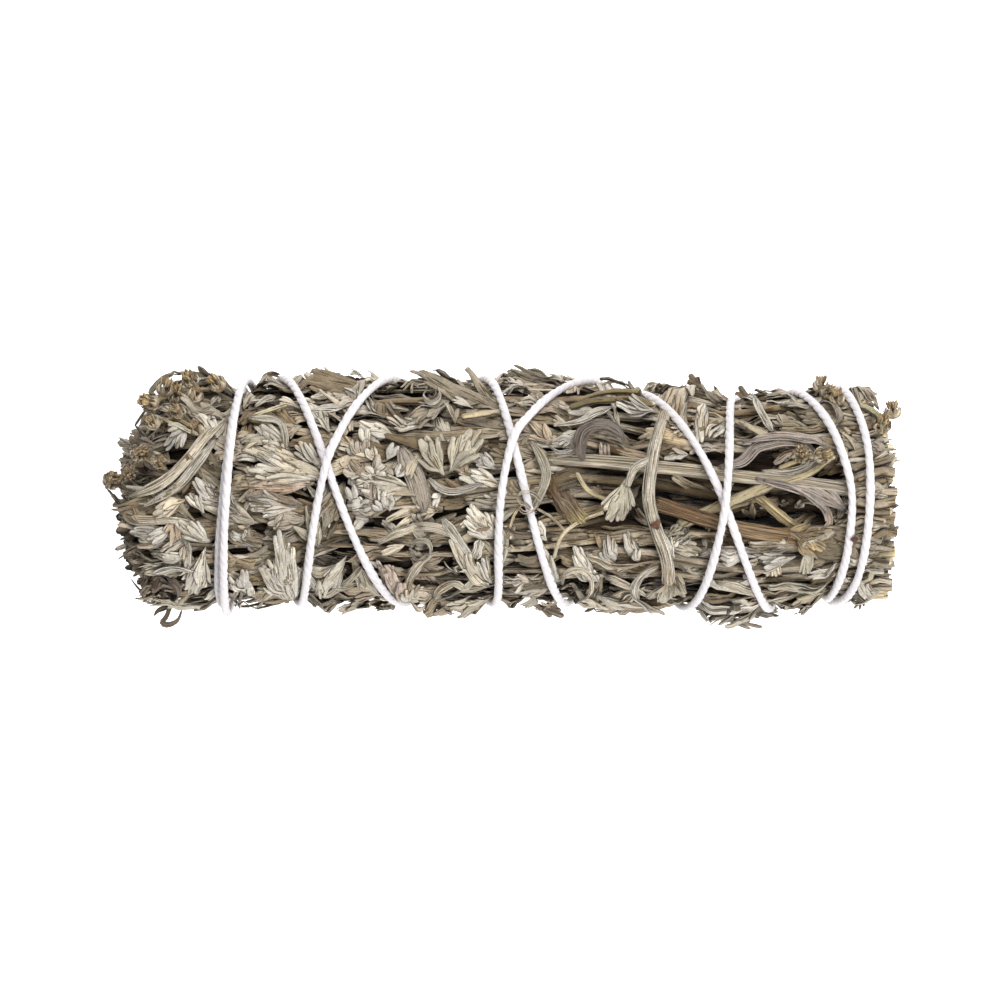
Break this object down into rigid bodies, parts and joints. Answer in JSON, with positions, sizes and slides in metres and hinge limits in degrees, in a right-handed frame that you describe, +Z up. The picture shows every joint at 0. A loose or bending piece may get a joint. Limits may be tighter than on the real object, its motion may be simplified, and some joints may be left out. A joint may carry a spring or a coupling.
{
  "type": "wormwood smudge stick",
  "caption": "Dried wormwood sprigs laid side by side and wound tight with white cotton string, lying on their side, leafy tips at one end and cut stems at the other.",
  "frame": {"origin": "middle of the bundle's box, on the surface that it lies on", "axes": "+X along the bundle towards its cut stems, -X towards its leafy tips, +Z up"},
  "size_m": [0.1039, 0.0317, 0.0303],
  "materials": {
    "leaves": "dry sage-grey leaf, matt",
    "inner_leaves": "dry brown leaf, matt",
    "flower_heads": "dry tan flower heads, matt",
    "grey_brown_stem": "dry ribbed stem, matt",
    "red_brown_stem": "dry woody stem, dull sheen",
    "green_stem": "dry yellow-green stem, matt",
    "cotton_string": "twisted cotton, slightly fuzzy"
  },
  "bodies": {
    "root": {"cotton_string": "cotton_string", "forked_stem": "grey_brown_stem", "long_stem": "grey_brown_stem", "brown_stem": "red_brown_stem", "broken_stub": "red_brown_stem", "crossing_stem_1": "green_stem", "crossing_stem_2": "green_stem", "flower_spray_1": "flower_heads", "flower_spray_2": "flower_heads", "flower_spray_3": "flower_heads", "flower_spray_4": "flower_heads", "flower_spray_5": "flower_heads", "flower_spray_6": "flower_heads", "leafy_sprig_1": "leaves", "leafy_sprig_2": "leaves", "leafy_sprig_3": "leaves", "leafy_sprig_4": "leaves", "leafy_sprig_5": "leaves", "leafy_sprig_6": "leaves", "leafy_sprig_7": "leaves", "leafy_sprig_8": "leaves", "inner_sprig_1": "inner_leaves", "inner_sprig_2": "inner_leaves", "inner_sprig_3": "inner_leaves", "inner_sprig_4": "inner_leaves"}
  },
  "joints": []
}
